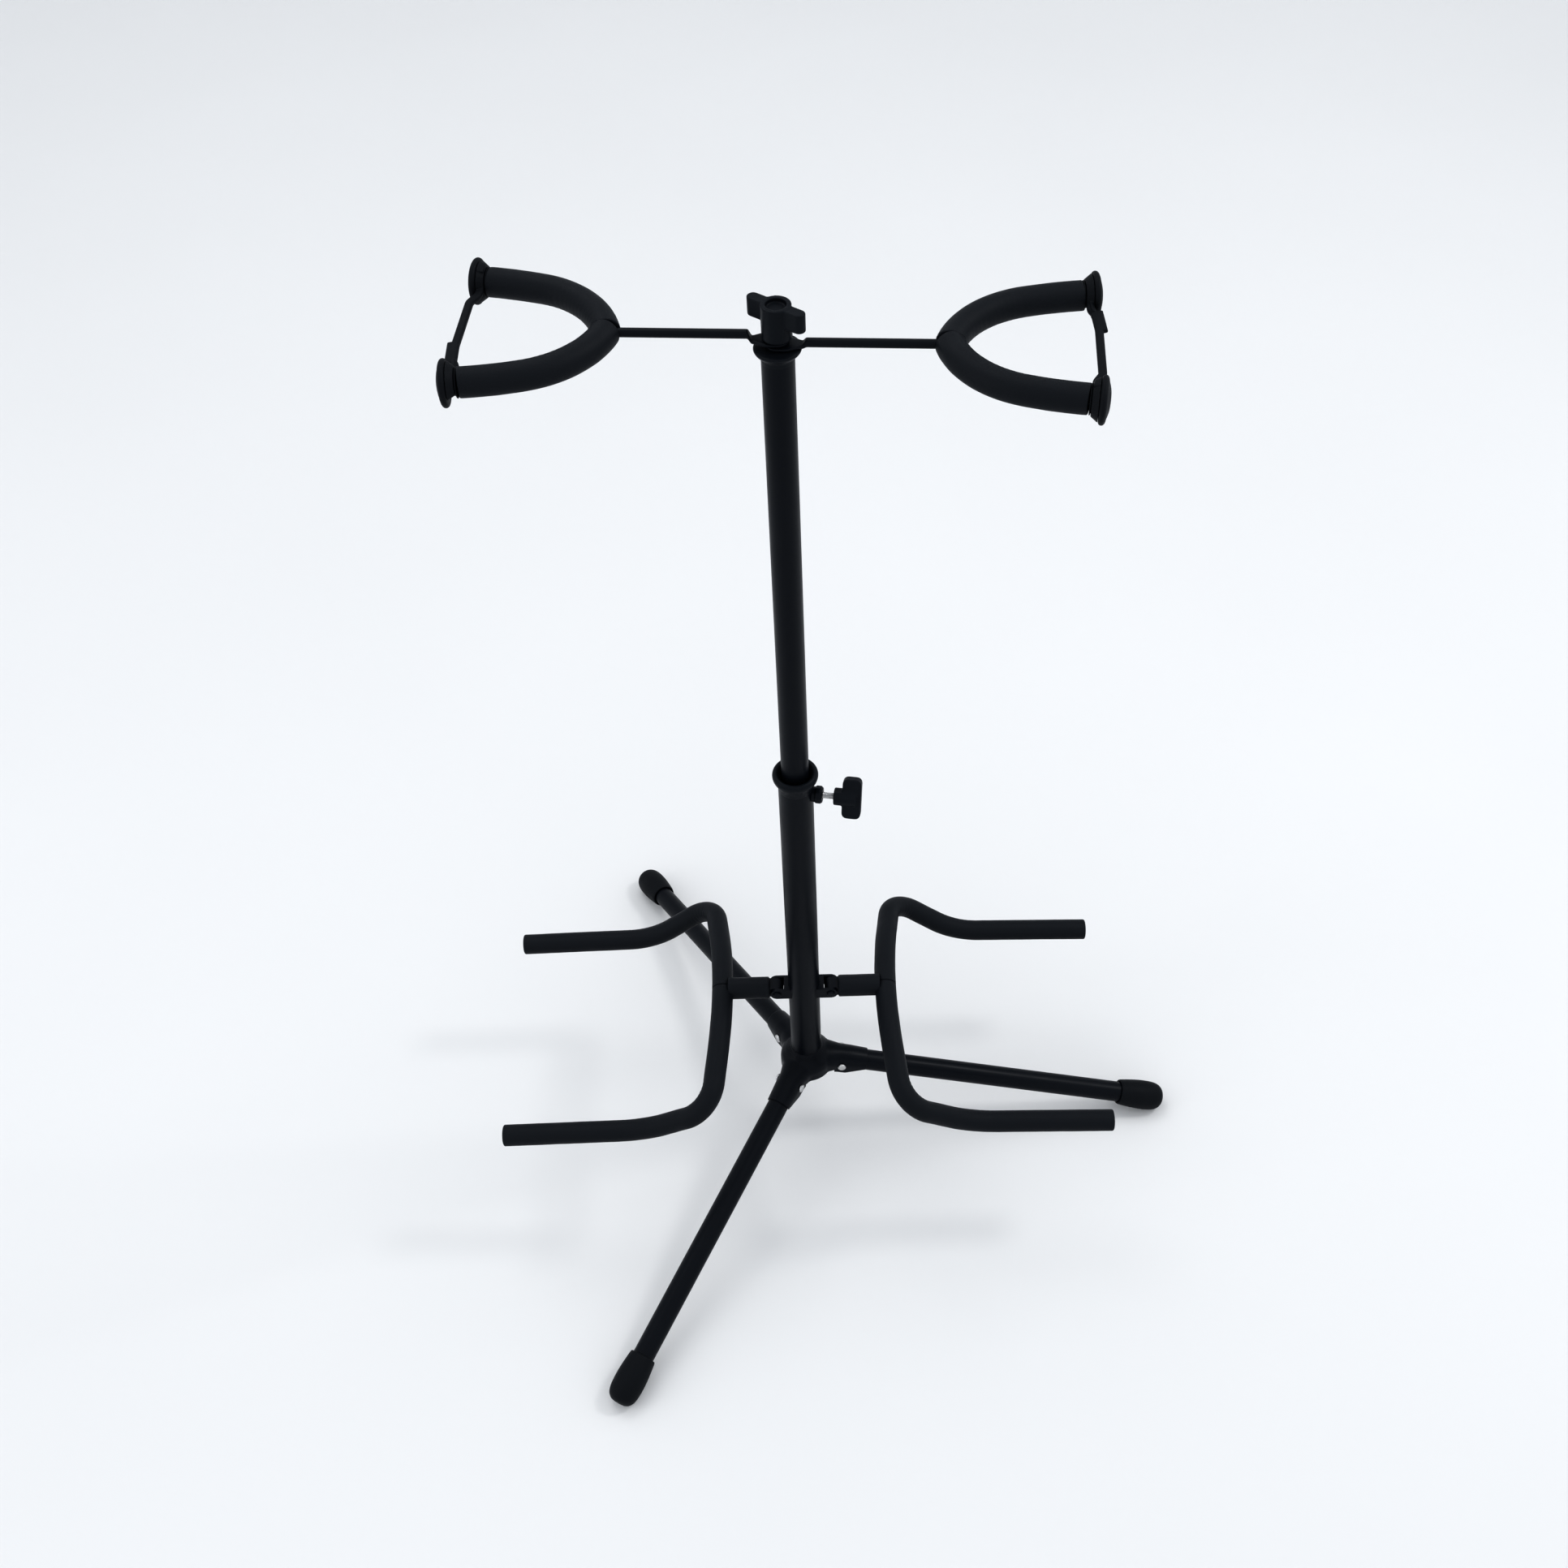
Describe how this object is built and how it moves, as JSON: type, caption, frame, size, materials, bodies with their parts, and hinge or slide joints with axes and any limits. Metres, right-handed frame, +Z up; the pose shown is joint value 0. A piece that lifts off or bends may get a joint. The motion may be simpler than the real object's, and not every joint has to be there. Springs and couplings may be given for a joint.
{
  "type": "guitar rack",
  "caption": "Free-standing folding rack with a telescoping post on tripod legs, foam-covered neck yokes at the top and folding body cradles below.",
  "frame": {"origin": "on the floor, under the middle of the object's bounding box; the post stands 42 mm to the -X side of it", "axes": "+Z up along the post, +X along the leg and cradle on the right, -Y towards the viewer"},
  "size_m": [0.7056, 0.69, 1.048],
  "materials": {
    "black_steel": "satin black powder coat",
    "black_foam": "matte black closed-cell foam sleeve",
    "black_plastic": "moulded black plastic, light grain",
    "black_rubber": "moulded black rubber",
    "zinc": "bright zinc-plated steel",
    "white_plastic": "natural acetal bushing plastic",
    "brass": "machined brass insert"
  },
  "bodies": {
    "base": {"hub_spider": "black_steel", "leg_rivets": "zinc", "lower_post": "black_steel", "post_weld": "black_steel", "post_collar": "black_plastic", "guide_bush": "white_plastic", "clamp_boss": "black_steel", "cradle_pins": "black_steel", "cradle_bracket_left": "black_steel", "cradle_bracket_right": "black_steel"},
    "leg_right": {"leg_tube_right": "black_steel", "leg_foot_right": "black_rubber"},
    "leg_back_left": {"leg_tube_back_left": "black_steel", "leg_foot_back_left": "black_rubber"},
    "leg_front_left": {"leg_tube_front_left": "black_steel", "leg_foot_front_left": "black_rubber"},
    "clamp_shoe": {"clamp_pad": "white_plastic"},
    "clamp_grip": {"clamp_screw": "zinc", "clamp_knob": "black_plastic"},
    "mast": {"upper_tube": "black_steel", "tube_glide": "white_plastic", "top_cap": "black_plastic", "cap_insert": "brass"},
    "head_washer": {"top_washer": "zinc"},
    "head_grip": {"top_stud": "zinc", "top_knob": "black_plastic"},
    "yoke_left": {"yoke_arm_left": "black_steel", "yoke_foam_left_front": "black_foam", "yoke_foam_left_back": "black_foam", "yoke_cap_left_front": "black_rubber", "yoke_cap_left_back": "black_rubber"},
    "strap_left": {"yoke_strap_left": "black_rubber"},
    "yoke_right": {"yoke_arm_right": "black_steel", "yoke_foam_right_front": "black_foam", "yoke_foam_right_back": "black_foam", "yoke_cap_right_front": "black_rubber", "yoke_cap_right_back": "black_rubber"},
    "strap_right": {"yoke_strap_right": "black_rubber"},
    "cradle_left": {"cradle_frame_left": "black_steel", "cradle_stub_foam_left": "black_foam", "cradle_foam_left_front": "black_foam", "cradle_foam_left_back": "black_foam"},
    "cradle_right": {"cradle_frame_right": "black_steel", "cradle_stub_foam_right": "black_foam", "cradle_foam_right_front": "black_foam", "cradle_foam_right_back": "black_foam"}
  },
  "joints": [
    {"name": "leg_right_fold", "type": "hinge", "parent": "base", "child": "leg_right", "pos_m": [-0.00497, 0, 0.1083], "axis": [0, 1, 0], "range_deg": [0, 73]},
    {"name": "leg_back_left_fold", "type": "hinge", "parent": "base", "child": "leg_back_left", "pos_m": [-0.06122, 0.03248, 0.1083], "axis": [-0.866, -0.5, 0], "range_deg": [0, 73]},
    {"name": "leg_front_left_fold", "type": "hinge", "parent": "base", "child": "leg_front_left", "pos_m": [-0.06122, -0.03248, 0.1083], "axis": [0.866, -0.5, 0], "range_deg": [0, 73]},
    {"name": "clamp_shoe_slide", "type": "slide", "parent": "base", "child": "clamp_shoe", "axis": [0.9848, -0.1736, 0], "range_m": [0, 0.0015]},
    {"name": "clamp_knob_turn", "type": "hinge", "parent": "clamp_shoe", "child": "clamp_grip", "pos_m": [0.00677, -0.00868, 0.535], "axis": [0.9848, -0.1736, 0], "range_deg": [0, 541]},
    {"name": "mast_slide", "type": "slide", "parent": "base", "child": "mast", "axis": [0, 0, 1], "range_m": [-0.3, 0.045]},
    {"name": "head_knob_lift", "type": "slide", "parent": "mast", "child": "head_washer", "axis": [0, 0, 1], "range_m": [0, 0.0025]},
    {"name": "head_knob_turn", "type": "hinge", "parent": "head_washer", "child": "head_grip", "pos_m": [-0.04247, 0, 1.03], "axis": [0, 0, 1], "range_deg": [0, 721]},
    {"name": "yoke_left_swivel", "type": "hinge", "parent": "mast", "child": "yoke_left", "pos_m": [-0.04247, 0, 1.0165], "axis": [0, 0, 1], "range_deg": [-60, 60]},
    {"name": "strap_left_lift", "type": "hinge", "parent": "yoke_left", "child": "strap_left", "pos_m": [-0.26116, 0.0818, 1.023], "axis": [-0.9839, 0.1788, 0], "range_deg": [0, 120]},
    {"name": "yoke_right_swivel", "type": "hinge", "parent": "mast", "child": "yoke_right", "pos_m": [-0.04247, 0, 1.0165], "axis": [0, 0, 1], "range_deg": [-60, 60]},
    {"name": "strap_right_lift", "type": "hinge", "parent": "yoke_right", "child": "strap_right", "pos_m": [0.17622, -0.0818, 1.0165], "axis": [0.9839, -0.1788, 0], "range_deg": [0, 120]},
    {"name": "cradle_left_fold", "type": "hinge", "parent": "base", "child": "cradle_left", "pos_m": [-0.06997, 0, 0.237], "axis": [0, 1, 0], "range_deg": [0, 90]},
    {"name": "cradle_right_fold", "type": "hinge", "parent": "base", "child": "cradle_right", "pos_m": [-0.01497, 0, 0.237], "axis": [0, -1, 0], "range_deg": [0, 90]}
  ],
  "couplings": [
    {"joint": "clamp_knob_turn", "follows": "clamp_shoe_slide", "rad_per_m": 6283.2},
    {"joint": "head_knob_turn", "follows": "head_knob_lift", "rad_per_m": 5026.5}
  ]
}
